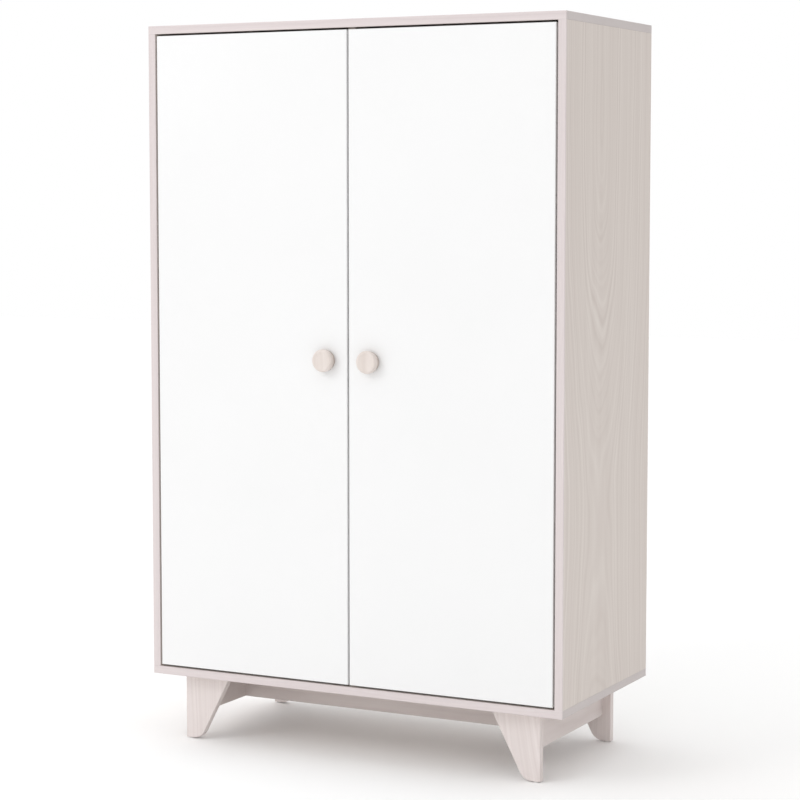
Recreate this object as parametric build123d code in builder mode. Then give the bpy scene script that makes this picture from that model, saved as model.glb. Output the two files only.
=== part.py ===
# Two-door wardrobe on a low leg frame.
# Laminated 16 mm board, white inset doors on concealed cup hinges, wooden disc knobs.
# Frame: +Z up, +X to the right seen from the front, the doors face -Y.
# The origin is on the floor, at the centre of the footprint (knobs included).
from build123d import *
import os

# Driving dimensions, millimetres
width = 900
depth = 432
carcass_height = 1302
clearance_under = 134       # floor to the underside of the bottom panel
board = 16
gap = 4                     # round and between the doors
back_thickness = 3
band_thickness = 2          # edge banding on the front edges of the carcass
arris = 1.5                 # rounding of the outer board edges
inner_arris = 0.8           # rounding of the edges at a seam or inside the door opening
knob_projection = 19

# Carcass planes
front = -(depth - knob_projection) / 2
back = front + depth
board_front = front + band_thickness
board_back = back - back_thickness
carcass_bottom = clearance_under
inner_bottom = carcass_bottom + board
carcass_top = carcass_bottom + carcass_height
inner_top = carcass_top - board
inner_half = width / 2 - board

# Doors
door_bottom = inner_bottom + gap
door_height = inner_top - inner_bottom - 2 * gap
door_back = front + board
hinge_edge = inner_half - gap           # distance of each door's hinge edge from the middle
knob_x = 48
knob_z = carcass_bottom + carcass_height / 2
knob_radius = 22

# Concealed hinges: the pin stands inside the cup, in from the door's edge and behind its face
pin_inset = 12
pin_behind_face = 8.5
pin_x = hinge_edge - pin_inset
pin_y = front + pin_behind_face
pin_radius = 1.5
cup_radius = 17.4
cup_depth = 11.5
cup_inset = 22.5
cup_x = hinge_edge - cup_inset
hinge_end_distance = 100
hinge_heights = {
    "top": door_bottom + door_height - hinge_end_distance,
    "middle": door_bottom + door_height / 2,
    "bottom": door_bottom + hinge_end_distance,
}
arm_width = 14
plate_screw_y = front + board + 37      # 37 mm line, counted from the back of the door
plate_screw_spread = 16

# Inside
divider_front = door_back + 2
shelf_front = front + 30
shelf_side_gap = 1
shelf_heights = {"lower": 482, "middle": 843, "upper": 1150}
shelf_pin_rows = (front + 75, back - 60)
row_pitch = 32
bay_centre = (board / 2 + inner_half) / 2
rail_z = shelf_heights["upper"] - 60
rail_y = (front + back) / 2 + 10
rail_radius = 12.5

# Leg frame
leg_inset = 58
leg_recess = 31
leg_top_width = 103
leg_foot_width = 34
leg_foot_radius = 28
glide_height = 2
leg_outer = width / 2 - leg_inset
front_leg_y = front + leg_recess
rear_leg_y = back - leg_recess - board
rail_height = 80
rail_setback = 18                       # side rail, in from the outer edge of the legs
leg_rail_outer = leg_outer - rail_setback

# Joints between boards
joint_clearance = 0.1
cam_rows = (front + 62, back - 62)
dowel_rows = (front + 102, back - 102)
cam_distance = 34                       # cam centre from the end of its board
dowel_radius = 4
dowel_length = 30
dowel_in_face = board / 2               # depth of a dowel in the flat of a board
cam_bolt_way = 3.6                      # radius of the hole that a cam bolt passes through
pilot_radius = 1.6                      # hole for a small wood screw
hole_spare = 2                          # depth left over past the end of a dowel or screw

os.makedirs("parts", exist_ok=True)


def save(part, label):
    part.label = label
    export_step(part, f"parts/{label}.step")


def drill(plane, points, radius, hole_depth):
    """Cut round holes in the open part, from a plane and along its normal."""
    with BuildSketch(plane) as holes:
        with Locations(*points):
            Circle(radius)
    extrude(holes.sketch, amount=hole_depth, mode=Mode.SUBTRACT)


def block(x_range, y_range, z_range):
    """Add a rectangular board between three pairs of planes to the open part."""
    size = [high - low for low, high in (x_range, y_range, z_range)]
    middle = [(high + low) / 2 for low, high in (x_range, y_range, z_range)]
    with Locations(tuple(middle)):
        Box(*size)


def group(piece, places, label):
    """Write one node that holds a copy of the piece at each place."""
    with BuildPart() as copies:
        with Locations(*places):
            add(piece)
    save(copies.part, label)


# Where the upright boards stand, and the planes at both of their ends
upright_middles = {"left": -(width - board) / 2, "centre": 0, "right": (width - board) / 2}
end_planes = {
    "top": Plane((0, 0, inner_top)),
    "bottom": Plane((0, 0, inner_bottom), x_dir=(1, 0, 0), z_dir=(0, 0, -1)),
}
into_board = {"top": 1, "bottom": -1}

# ---------------------------------------------------------------- nail lines
nail_margin = 30
nail_pitch = 150
nail_head_radius = 2
nail_head_height = 0.8
nail_radius = 0.75
nail_length = 20


def spaced(low, high, pitch):
    """Evenly spaced places from low to high, no further apart than the pitch."""
    steps = int((high - low) // pitch) + 1
    return [low + (high - low) * step / steps for step in range(steps + 1)]


nail_columns = spaced(-width / 2 + nail_margin, width / 2 - nail_margin, nail_pitch)
nail_rows = spaced(inner_bottom + nail_margin, inner_top - nail_margin, nail_pitch)
level_nails = {
    "top": [(x, carcass_top - board / 2) for x in nail_columns],
    "bottom": [(x, carcass_bottom + board / 2) for x in nail_columns],
}
upright_nails = {side: [(x, z) for z in nail_rows] for side, x in upright_middles.items()}
all_nails = [spot for spots in (*level_nails.values(), *upright_nails.values()) for spot in spots]
rear_plane = Plane((0, back, 0), x_dir=(1, 0, 0), z_dir=(0, -1, 0))
board_rear_plane = Plane((0, board_back, 0), x_dir=(1, 0, 0), z_dir=(0, -1, 0))


def rear_holes(spots):
    """Nail holes in the rear edge of the open board."""
    drill(board_rear_plane, spots, nail_radius + joint_clearance, nail_length)


# ---------------------------------------------------------------- top and bottom panels
# They run over the ends of the side panels, across the full width.
bolt_screw_radius = 2.4
bolt_screw_length = 11
confirmat_radius = 2.5
confirmat_neck_radius = 3.4
confirmat_head_radius = 5
confirmat_head_height = 3
confirmat_length = 50
leg_screw_insets = (12, 60)
leg_screw_spots = [
    (side * (leg_outer - inset), leg_y + board / 2)
    for side in (-1, 1)
    for inset in leg_screw_insets
    for leg_y in (front_leg_y, rear_leg_y)
]
rail_screw_rows = (front + 110, back - 110)
rail_screw_spots = [
    (side * (leg_rail_outer - board / 2), y) for side in (-1, 1) for y in rail_screw_rows
]
cross_rail_y = (front + back) / 2
cross_screw_x = 200
cross_screw_spots = [(side * cross_screw_x, cross_rail_y) for side in (-1, 1)]
frame_screw_spots = leg_screw_spots + rail_screw_spots + cross_screw_spots
bracket_depth = 30
bracket_width = 20
bracket_steel = 2
bracket_places = [(-bay_centre, board_back), (bay_centre, board_back)]
bracket_screw_back = 18                 # screw into the top panel, in front of the back panel
bracket_drop = 20                       # wall hole, below the top panel
bracket_screw_length = 13
bracket_screw_radius = 1.5
wall_hole_radius = 3

for name, low in (("top", inner_top), ("bottom", carcass_bottom)):
    with BuildPart() as level_panel:
        block((-width / 2, width / 2), (board_front, board_back), (low, low + board))
        end_edges = level_panel.edges().filter_by(Axis.Y).group_by(Axis.Z)
        outer_edges, seam_edges = end_edges if name == "bottom" else reversed(end_edges)
        fillet(outer_edges, arris)
        fillet(seam_edges, inner_arris)
        inner_plane = end_planes[name]
        for middle in upright_middles.values():
            bolt_spots = [(middle, y * into_board[name]) for y in cam_rows]
            drill(inner_plane, bolt_spots, bolt_screw_radius + joint_clearance, bolt_screw_length)
            dowel_spots = [(middle, y * into_board[name]) for y in dowel_rows]
            drill(inner_plane, dowel_spots, dowel_radius + joint_clearance,
                  dowel_in_face + hole_spare)
        rear_holes(level_nails[name])
        if name == "top":
            screw_spots = [(x, y - bracket_screw_back) for x, y in bracket_places]
            drill(inner_plane, screw_spots, pilot_radius, bracket_screw_length)
        else:
            frame_spots = [(x, -y) for x, y in frame_screw_spots]
            drill(inner_plane, frame_spots, confirmat_head_radius + joint_clearance,
                  confirmat_head_height)
            drill(inner_plane, frame_spots, confirmat_neck_radius + joint_clearance, board)
    save(level_panel.part, f"{name}_panel")

# ---------------------------------------------------------------- side panels and divider
cam_radius = 7.5
cam_height = 12.5
shelf_pin_radius = 2.5
shelf_pin_length = 7.5
socket_screw_spread = 22
socket_screw_radius = 1.75
socket_screw_length = 15
socket_base = 3                         # thickness of a rail socket under its screw heads
plate_screw_radius = 2.5
plate_screw_length = 12
shelf_pin_z = {name: z - shelf_pin_radius for name, z in shelf_heights.items()}


def face_plane(x, direction):
    """Upright plane that looks into a board along +X or -X; local x is Y, local y is +Z or -Z."""
    return Plane((x, 0, 0), x_dir=(0, 1, 0), z_dir=(direction, 0, 0))


def shelf_holes(x, direction, names):
    """Rows of shelf pin holes: one at each shelf in use, and one above and below it."""
    heights = [shelf_pin_z[name] + step * row_pitch for name in names for step in (-1, 0, 1)]
    spots = [(y, direction * z) for y in shelf_pin_rows for z in heights]
    drill(face_plane(x, direction), spots, shelf_pin_radius + joint_clearance,
          shelf_pin_length + 1)


def rail_socket_holes(x, direction):
    """Pilot holes for the two screws of a hanging rail socket."""
    steps = (-socket_screw_spread, socket_screw_spread)
    spots = [(rail_y, direction * (rail_z + step)) for step in steps]
    drill(face_plane(x, direction), spots, socket_screw_radius, socket_screw_length - socket_base)


def end_joint_holes(middle, cam_face, cam_direction):
    """Holes for cam bolts, dowels and cams at both ends of the open upright board."""
    for end, plane in end_planes.items():
        inward = Plane(plane.origin, x_dir=(1, 0, 0), z_dir=-plane.z_dir)
        bolt_spots = [(middle, -y * into_board[end]) for y in cam_rows]
        drill(inward, bolt_spots, cam_bolt_way, cam_distance)
        dowel_spots = [(middle, -y * into_board[end]) for y in dowel_rows]
        drill(inward, dowel_spots, dowel_radius + joint_clearance, dowel_length - dowel_in_face)
        cam_z = plane.origin.Z - into_board[end] * cam_distance
        cam_spots = [(y, cam_direction * cam_z) for y in cam_rows]
        drill(face_plane(cam_face, cam_direction), cam_spots, cam_radius + joint_clearance,
              cam_height + joint_clearance)


for name, side in (("left", -1), ("right", 1)):
    inner_face = side * inner_half
    outer_face = side * width / 2
    with BuildPart() as side_panel:
        block(sorted((inner_face, outer_face)), (board_front, board_back), (inner_bottom, inner_top))
        end_joint_holes(upright_middles[name], inner_face, side)
        plate_spots = [
            (plate_screw_y, side * (z + step))
            for z in hinge_heights.values()
            for step in (-plate_screw_spread, plate_screw_spread)
        ]
        drill(face_plane(inner_face, side), plate_spots, plate_screw_radius + joint_clearance,
              plate_screw_length)
        if name == "left":
            shelf_holes(inner_face, side, ["upper"])
            rail_socket_holes(inner_face, side)
        else:
            shelf_holes(inner_face, side, shelf_heights)
        rear_holes(upright_nails[name])
    save(side_panel.part, f"{name}_side_panel")

with BuildPart() as centre_divider:
    block((-board / 2, board / 2), (divider_front, board_back), (inner_bottom, inner_top))
    end_joint_holes(0, -board / 2, 1)
    shelf_holes(board / 2, -1, ["lower", "middle"])
    # The upper shelves stand level on both sides, so their pins share through holes.
    upper_heights = [shelf_pin_z["upper"] + step * row_pitch for step in (-1, 0, 1)]
    upper_spots = [(y, z) for y in shelf_pin_rows for z in upper_heights]
    drill(face_plane(-board / 2, 1), upper_spots, shelf_pin_radius + joint_clearance, board)
    rail_socket_holes(-board / 2, 1)
    rear_holes(upright_nails["centre"])
save(centre_divider.part, "centre_divider")

# ---------------------------------------------------------------- back panel and its nails
back_margin = 2
with BuildPart() as back_panel:
    block((-width / 2 + back_margin, width / 2 - back_margin), (board_back, back),
          (carcass_bottom + back_margin, carcass_top - back_margin))
    drill(rear_plane, all_nails, nail_head_radius + joint_clearance, nail_head_height)
    drill(rear_plane, all_nails, nail_radius + joint_clearance, back_thickness)
    wall_points = [(x, inner_top - bracket_drop) for x, _ in bracket_places]
    drill(rear_plane, wall_points, wall_hole_radius + 1, back_thickness)
save(back_panel.part, "back_panel")

with BuildPart() as nail:
    with BuildSketch(Plane.XZ):
        Circle(nail_head_radius)
    extrude(amount=nail_head_height)
    with BuildSketch(Plane.XZ):
        Circle(nail_radius)
    extrude(amount=nail_length)
group(nail.part, [(x, back, z) for x, z in all_nails], "back_nails")

# ---------------------------------------------------------------- front edge banding
# Thick plastic strips on the front edges; the top and bottom ones run full width.
with BuildPart() as front_edge_bands:
    for low in (inner_top, carcass_bottom):
        block((-width / 2, width / 2), (front, board_front), (low, low + board))
    for middle in (upright_middles["left"], upright_middles["right"]):
        block((middle - board / 2, middle + board / 2), (front, board_front),
              (inner_bottom + joint_clearance, inner_top - joint_clearance))
    front_edges = front_edge_bands.faces().filter_by(Axis.Y).group_by(Axis.Y)[0].edges()
    outline = [
        edge for edge in front_edges
        if abs(edge.center().X) > width / 2 - 1 or edge.center().Z > carcass_top - 1
        or edge.center().Z < carcass_bottom + 1
    ]
    opening = [edge for edge in front_edges if edge.length > board * 2 and edge not in outline]
    fillet(outline, arris)
    fillet(opening, inner_arris)
save(front_edge_bands.part, "front_edge_bands")

# ---------------------------------------------------------------- shelves
for name, side in (("hat", -1), ("lower", 1), ("middle", 1), ("upper", 1)):
    height = shelf_heights.get(name, shelf_heights["upper"])
    near = board / 2 + shelf_side_gap
    far = inner_half - shelf_side_gap
    with BuildPart() as shelf:
        block(sorted((side * near, side * far)), (shelf_front, board_back - shelf_side_gap),
              (height, height + board))
        fillet(shelf.faces().sort_by(Axis.Y)[0].edges().filter_by(Axis.X), inner_arris)
    save(shelf.part, f"{name}_shelf")

# Shelf pins: a round shank in the board and a flat tab under the shelf.
tab_reach = 8
tab_width = 8
tab_corner = 1
with BuildPart() as shelf_pin:
    with BuildSketch(Plane.YZ):
        Circle(shelf_pin_radius)
    extrude(amount=-shelf_pin_length)
    block((0, tab_reach), (-tab_width / 2, tab_width / 2), (-shelf_pin_radius, shelf_pin_radius))
    fillet(shelf_pin.edges().filter_by(Axis.X).group_by(Axis.Z)[0], tab_corner)

facing_right = (0, 0, 0)
facing_left = (0, 0, 180)
pin_faces = {
    "hat": ((-inner_half, facing_right), (-board / 2, facing_left)),
    "right": ((board / 2, facing_right), (inner_half, facing_left)),
}
pin_levels = [("hat", "upper"), ("right", "lower"), ("right", "middle"), ("right", "upper")]
shelf_pin_places = [
    Location((x, y, shelf_pin_z[level]), turn)
    for bay, level in pin_levels
    for x, turn in pin_faces[bay]
    for y in shelf_pin_rows
]
group(shelf_pin.part, shelf_pin_places, "shelf_pins")

# ---------------------------------------------------------------- hanging rail
socket_depth = 12
socket_wall = 2
socket_width = 30
socket_height = 58
rail_wall = 1.2
rail_half_length = (inner_half - board / 2) / 2 - socket_base - joint_clearance

with BuildPart() as hanging_rail:
    with BuildSketch(Plane((-bay_centre, rail_y, rail_z), x_dir=(0, 1, 0), z_dir=(1, 0, 0))):
        Circle(rail_radius)
        Circle(rail_radius - rail_wall, mode=Mode.SUBTRACT)
    extrude(amount=rail_half_length, both=True)
save(hanging_rail.part, "hanging_rail")

# A rail socket: an oval screwed plate with a ring that the end of the tube sits in.
with BuildPart() as rail_socket:
    with BuildSketch(Plane.YZ):
        SlotOverall(socket_height, socket_width, rotation=90)
    extrude(amount=socket_base)
    with BuildSketch(Plane.YZ.offset(socket_base)):
        Circle(rail_radius + joint_clearance + socket_wall)
        Circle(rail_radius + joint_clearance, mode=Mode.SUBTRACT)
    extrude(amount=socket_depth - socket_base)
    screw_holes = [(0, -socket_screw_spread), (0, socket_screw_spread)]
    drill(Plane.YZ, screw_holes, socket_screw_radius + joint_clearance, socket_base)


def screw(shank_radius, length, head_radius, head_height, drive_radius):
    """A pan-head screw along +X: the head outside x = 0, the shank going to -X."""
    drive_slot = 0.4 * drive_radius
    drive_depth = 0.7 * head_height
    with BuildPart() as body:
        with BuildSketch(Plane.YZ):
            Circle(head_radius)
        extrude(amount=head_height)
        fillet(body.edges().sort_by(Axis.X)[-1], head_height * 0.45)
        with BuildSketch(Plane.YZ):
            Circle(shank_radius)
        extrude(amount=-length)
        chamfer(body.edges().sort_by(Axis.X)[0], shank_radius * 0.5)
        drive_plane = Plane.YZ.offset(head_height)
        with BuildSketch(drive_plane) as cross:
            Rectangle(2 * drive_radius, drive_slot)
            Rectangle(drive_slot, 2 * drive_radius)
        extrude(cross.sketch, amount=-drive_depth, mode=Mode.SUBTRACT)
    return body.part


socket_places = [
    Location((-inner_half, rail_y, rail_z), facing_right),
    Location((-board / 2, rail_y, rail_z), facing_left),
]
group(rail_socket.part, socket_places, "rail_sockets")
socket_screw = screw(socket_screw_radius - joint_clearance, socket_screw_length,
                     head_radius=3.4, head_height=2.2, drive_radius=1.8)
socket_screw_places = [
    Location((x, rail_y, rail_z + step), turn)
    for x, turn in (
        (-inner_half + socket_base, facing_right),
        (-board / 2 - socket_base, facing_left),
    )
    for step in (-socket_screw_spread, socket_screw_spread)
]
group(socket_screw, socket_screw_places, "rail_socket_screws")

# ---------------------------------------------------------------- leg frame
# Four shaped board legs stand parallel to the front; rails tie them under the bottom panel.
leg_dowel_steps = (25, 55)              # below the underside of the bottom panel
front_rail_end = front_leg_y + board
rear_rail_end = rear_leg_y
cross_half = leg_rail_outer - board


def leg(side, leg_y, rail_face):
    """One leg: upright outer edge, sloping inner edge and a rounded toe."""
    top = carcass_bottom
    foot = glide_height
    with BuildPart() as body:
        with BuildSketch(Plane((0, leg_y, 0), x_dir=(1, 0, 0), z_dir=(0, -1, 0))) as outline:
            with BuildLine():
                Polyline(
                    (side * leg_outer, top),
                    (side * leg_outer, foot),
                    (side * (leg_outer - leg_foot_width), foot),
                    (side * (leg_outer - leg_top_width), top),
                    close=True,
                )
            make_face()
            toe = outline.vertices().group_by(Axis.Y)[0].sort_by(Axis.X)[0 if side > 0 else -1]
            fillet(toe, leg_foot_radius)
        extrude(amount=-board)
        long_edges = body.faces().filter_by(Axis.Y).edges().filter_by(
            lambda edge: edge.center().Z < top - 1
        )
        fillet(long_edges, arris)
        screw_points = [(side * (leg_outer - inset), leg_y + board / 2) for inset in leg_screw_insets]
        down = Plane((0, 0, top), x_dir=(1, 0, 0), z_dir=(0, 0, -1))
        drill(down, [(x, -y) for x, y in screw_points], confirmat_radius + joint_clearance,
              confirmat_length - board + hole_spare)
        dowel_x = side * (leg_rail_outer - board / 2)
        into_leg = -1 if rail_face > leg_y else 1
        rail_plane = Plane((0, rail_face, 0), x_dir=(1, 0, 0), z_dir=(0, into_leg, 0))
        dowel_points = [(dowel_x, -into_leg * (top - step)) for step in leg_dowel_steps]
        drill(rail_plane, dowel_points, dowel_radius + joint_clearance, dowel_in_face + hole_spare)
    return body.part


for row, leg_y, rail_face in (
    ("front", front_leg_y, front_rail_end),
    ("rear", rear_leg_y, rear_rail_end),
):
    for name, side in (("left", -1), ("right", 1)):
        save(leg(side, leg_y, rail_face), f"{row}_{name}_leg")

rail_low = carcass_bottom - rail_height
down_from_rails = Plane((0, 0, carcass_bottom), x_dir=(1, 0, 0), z_dir=(0, 0, -1))
for name, side in (("left", -1), ("right", 1)):
    outer = side * leg_rail_outer
    inner = side * cross_half
    with BuildPart() as side_rail:
        block(sorted((outer, inner)), (front_rail_end, rear_rail_end), (rail_low, carcass_bottom))
        fillet(side_rail.faces().sort_by(Axis.Z)[0].edges().filter_by(Axis.Y), arris)
        rail_points = [(x, -y) for x, y in rail_screw_spots if x * side > 0]
        drill(down_from_rails, rail_points, confirmat_radius + joint_clearance,
              confirmat_length - board + hole_spare)
        for end, into_rail in ((front_rail_end, 1), (rear_rail_end, -1)):
            end_plane = Plane((0, end, 0), x_dir=(1, 0, 0), z_dir=(0, into_rail, 0))
            points = [(outer - side * board / 2, -into_rail * (carcass_bottom - step))
                      for step in leg_dowel_steps]
            drill(end_plane, points, dowel_radius + joint_clearance, dowel_length - dowel_in_face)
        points = [(cross_rail_y, side * (carcass_bottom - step)) for step in leg_dowel_steps]
        drill(face_plane(inner, side), points, dowel_radius + joint_clearance,
              dowel_in_face + hole_spare)
    save(side_rail.part, f"{name}_leg_rail")

with BuildPart() as cross_rail:
    block((-cross_half, cross_half), (cross_rail_y - board / 2, cross_rail_y + board / 2),
          (rail_low, carcass_bottom))
    fillet(cross_rail.faces().sort_by(Axis.Z)[0].edges().filter_by(Axis.X), arris)
    drill(down_from_rails, [(x, -y) for x, y in cross_screw_spots],
          confirmat_radius + joint_clearance, confirmat_length - board + hole_spare)
    for side in (-1, 1):
        points = [(cross_rail_y, -side * (carcass_bottom - step)) for step in leg_dowel_steps]
        drill(face_plane(side * cross_half, -side), points, dowel_radius + joint_clearance,
              dowel_length - dowel_in_face)
save(cross_rail.part, "cross_rail")

# Plastic glides under the flat of each foot.
glide_radius = 7
glide_inset = 9
glide_rounding = 0.8
with BuildPart() as glide:
    Cylinder(glide_radius, glide_height, align=(Align.CENTER, Align.CENTER, Align.MIN))
    fillet(glide.edges().sort_by(Axis.Z)[0], glide_rounding)
glide_places = [
    (side * (leg_outer - glide_inset), leg_y + board / 2, 0)
    for side in (-1, 1)
    for leg_y in (front_leg_y, rear_leg_y)
]
group(glide.part, glide_places, "floor_glides")

# Long screws from inside the cabinet hold the legs and rails; their heads are flush.
hex_key_radius = 2.3
hex_key_depth = 2.5
frame_screw_tip = 1.2
with BuildPart() as frame_screw:
    with BuildSketch(Plane.XY):
        Circle(confirmat_head_radius)
    extrude(amount=-confirmat_head_height)
    with BuildSketch(Plane.XY):
        Circle(confirmat_neck_radius)
    extrude(amount=-board)
    with BuildSketch(Plane.XY):
        Circle(confirmat_radius)
    extrude(amount=-confirmat_length)
    with BuildSketch(Plane.XY):
        RegularPolygon(hex_key_radius, 6)
    extrude(amount=-hex_key_depth, mode=Mode.SUBTRACT)
    chamfer(frame_screw.edges().sort_by(Axis.Z)[0], frame_screw_tip)
group(frame_screw.part, [(x, y, inner_bottom) for x, y in frame_screw_spots], "leg_frame_screws")


# A wood dowel along +X from x = 0, with tapered ends.
dowel_taper = 0.8
with BuildPart() as dowel:
    with BuildSketch(Plane.YZ):
        Circle(dowel_radius)
    extrude(amount=dowel_length)
    chamfer(dowel.edges().filter_by(GeomType.CIRCLE), dowel_taper)

front_dowel_y = front_rail_end - dowel_in_face
rear_dowel_y = rear_rail_end + dowel_in_face
frame_dowel_places = []
for side in (-1, 1):
    rail_middle = side * (leg_rail_outer - board / 2)
    cross_dowel_x = side * (cross_half + dowel_in_face)
    cross_turn = facing_right if side < 0 else facing_left
    for step in leg_dowel_steps:
        level = carcass_bottom - step
        frame_dowel_places.append(Location((rail_middle, front_dowel_y, level), (0, 0, 90)))
        frame_dowel_places.append(Location((rail_middle, rear_dowel_y, level), (0, 0, -90)))
        frame_dowel_places.append(Location((cross_dowel_x, cross_rail_y, level), cross_turn))
group(dowel.part, frame_dowel_places, "leg_frame_dowels")

# ---------------------------------------------------------------- board joints
# Cams in the uprights pull on bolts in the top and bottom panels; dowels keep them in line.
cam_faces = {
    "left": (-inner_half, facing_left),
    "centre": (-board / 2, facing_right),
    "right": (inner_half, facing_right),
}
cam_drive_length = 9
cam_drive_slot = 1.6
cam_drive_depth = 1.8
with BuildPart() as cam:
    with BuildSketch(Plane.YZ):
        Circle(cam_radius)
    extrude(amount=cam_height)
    with BuildSketch(Plane.YZ) as drive:
        Rectangle(cam_drive_length, cam_drive_slot)
        Rectangle(cam_drive_slot, cam_drive_length)
    extrude(drive.sketch, amount=cam_drive_depth, mode=Mode.SUBTRACT)
    with BuildSketch(Plane((board / 2, 0, 0), x_dir=(1, 0, 0), z_dir=(0, 0, 1))) as bolt_way:
        Circle(cam_bolt_way)
    extrude(bolt_way.sketch, amount=cam_radius, both=True, mode=Mode.SUBTRACT)
cam_places = []
bolt_places = []
dowel_places = []
for name, middle in upright_middles.items():
    cam_face, cam_turn = cam_faces[name]
    for end, plane in end_planes.items():
        sign = into_board[end]
        end_z = plane.origin.Z
        for y in cam_rows:
            cam_places.append(Location((cam_face, y, end_z - sign * cam_distance), cam_turn))
            bolt_places.append(Location((middle, y, end_z), (0, 90 * sign, 0)))
        for y in dowel_rows:
            start = (middle, y, end_z + sign * board / 2)
            dowel_places.append(Location(start, (0, 90 * sign, 0)))
group(cam.part, cam_places, "cam_locks")

# A cam bolt: a screw end in the level panel, a shaft, and a neck under its head for the cam.
bolt_shaft_radius = 3
bolt_neck_radius = 1.9
bolt_neck_length = 3.5
bolt_head_length = 2.5
bolt_shaft_length = cam_distance - 2
with BuildPart() as cam_bolt:
    with BuildSketch(Plane.YZ):
        Circle(bolt_screw_radius)
    extrude(amount=-bolt_screw_length + joint_clearance)
    with BuildSketch(Plane.YZ):
        Circle(bolt_shaft_radius)
    extrude(amount=bolt_shaft_length)
    neck_start = bolt_shaft_length - bolt_head_length - bolt_neck_length
    with BuildSketch(Plane.YZ.offset(neck_start)) as neck:
        Circle(bolt_shaft_radius)
        Circle(bolt_neck_radius, mode=Mode.SUBTRACT)
    extrude(neck.sketch, amount=bolt_neck_length, mode=Mode.SUBTRACT)
group(cam_bolt.part, bolt_places, "cam_bolts")
group(dowel.part, dowel_places, "board_dowels")

# ---------------------------------------------------------------- wall brackets
bracket_height = 35
bracket_bend = 1
bracket_hanger = Plane((0, 0, -bracket_drop), x_dir=(1, 0, 0), z_dir=(0, -1, 0))
with BuildPart() as wall_bracket:
    block((-bracket_width / 2, bracket_width / 2), (-bracket_steel, 0), (-bracket_height, 0))
    block((-bracket_width / 2, bracket_width / 2), (-bracket_depth, 0), (-bracket_steel, 0))
    fillet(wall_bracket.edges().filter_by(Axis.X).sort_by(Axis.Y)[-1:], bracket_bend)
    drill(bracket_hanger, [(0, 0)], wall_hole_radius, bracket_steel)
    drill(Plane((0, -bracket_screw_back, -bracket_steel)), [(0, 0)],
          bracket_screw_radius + joint_clearance, bracket_steel)
group(wall_bracket.part, [(x, y, inner_top) for x, y in bracket_places], "wall_brackets")
bracket_screw_places = [
    Location((x, y - bracket_screw_back, inner_top - bracket_steel), (0, 90, 0))
    for x, y in bracket_places
]
bracket_screw = screw(bracket_screw_radius, bracket_screw_length,
                      head_radius=3.4, head_height=2, drive_radius=1.8)
group(bracket_screw, bracket_screw_places, "wall_bracket_screws")

# ---------------------------------------------------------------- door bumpers
bumper_radius = 3
bumper_thickness = 1.7
bumper_end = 60
bumper_x = 4.8
bumper_dome = 0.8
with BuildPart() as bumper:
    with BuildSketch(Plane.XZ):
        Circle(bumper_radius)
    extrude(amount=bumper_thickness)
    fillet(bumper.edges().sort_by(Axis.Y)[0], bumper_dome)
bumper_places = [
    (side * bumper_x, divider_front, z)
    for side in (-1, 1)
    for z in (inner_bottom + bumper_end, inner_top - bumper_end)
]
group(bumper.part, bumper_places, "door_bumpers")

# ---------------------------------------------------------------- doors and knobs
cup_pocket_spare = 0.5                  # room under the hinge cup in the door
cup_screw_spread = 24
cup_screw_back = 20                     # from the pin, towards the middle of the door
cup_screw_radius = 1.5
cup_screw_length = 12
knob_screw_radius = 2
knob_screw_length = 26
knob_hole_depth = 12
door_hole_spare = 0.25                  # room for the knob screw in the door
from_behind = Plane((0, door_back, 0), x_dir=(1, 0, 0), z_dir=(0, -1, 0))

for name, side in (("left", -1), ("right", 1)):
    with BuildPart() as door:
        block(sorted((side * gap / 2, side * hinge_edge)), (front, door_back),
              (door_bottom, door_bottom + door_height))
        fillet(door.faces().sort_by(Axis.Y)[0].edges(), arris)
        fillet(door.faces().sort_by(Axis.Y)[-1].edges(), inner_arris)
        cup_points = [(side * cup_x, z) for z in hinge_heights.values()]
        drill(from_behind, cup_points, cup_radius + joint_clearance,
              cup_depth + cup_pocket_spare)
        cup_screw_points = [
            (side * (pin_x - cup_screw_back), z + step)
            for z in hinge_heights.values()
            for step in (-cup_screw_spread, cup_screw_spread)
        ]
        drill(from_behind, cup_screw_points, pilot_radius, cup_screw_length)
        drill(from_behind, [(side * knob_x, knob_z)], knob_screw_radius + door_hole_spare, board)
    save(door.part, f"{name}_door")

# A turned disc knob: it widens a little from the door to a rounded rim.
knob_base_radius = 19.5
knob_widest = 0.6 * knob_projection     # where the flare ends
knob_rim_rounding = 3.5
knob_flare_rounding = 4
with BuildPart() as knob:
    with BuildSketch() as knob_profile:
        with BuildLine():
            Polyline(
                (0, 0),
                (knob_base_radius, 0),
                (knob_radius, -knob_widest),
                (knob_radius, -knob_projection),
                (0, -knob_projection),
                close=True,
            )
        make_face()
        rim = knob_profile.vertices().group_by(Axis.X)[-1]
        fillet(rim.sort_by(Axis.Y)[0], knob_rim_rounding)
        flare = knob_profile.vertices().group_by(Axis.X)[-1]
        fillet(flare.sort_by(Axis.Y)[-1], knob_flare_rounding)
    revolve(axis=Axis.Y)
    drill(Plane.XZ, [(0, 0)], knob_screw_radius + joint_clearance, knob_hole_depth)
knob_screw = screw(knob_screw_radius, knob_screw_length,
                   head_radius=4, head_height=2.4, drive_radius=2.1)
for name, side in (("left", -1), ("right", 1)):
    group(knob.part, [(side * knob_x, front, knob_z)], f"{name}_knob")
    screw_place = Location((side * knob_x, door_back, knob_z), (0, 0, 90))
    group(knob_screw, [screw_place], f"{name}_knob_screw")

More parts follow.
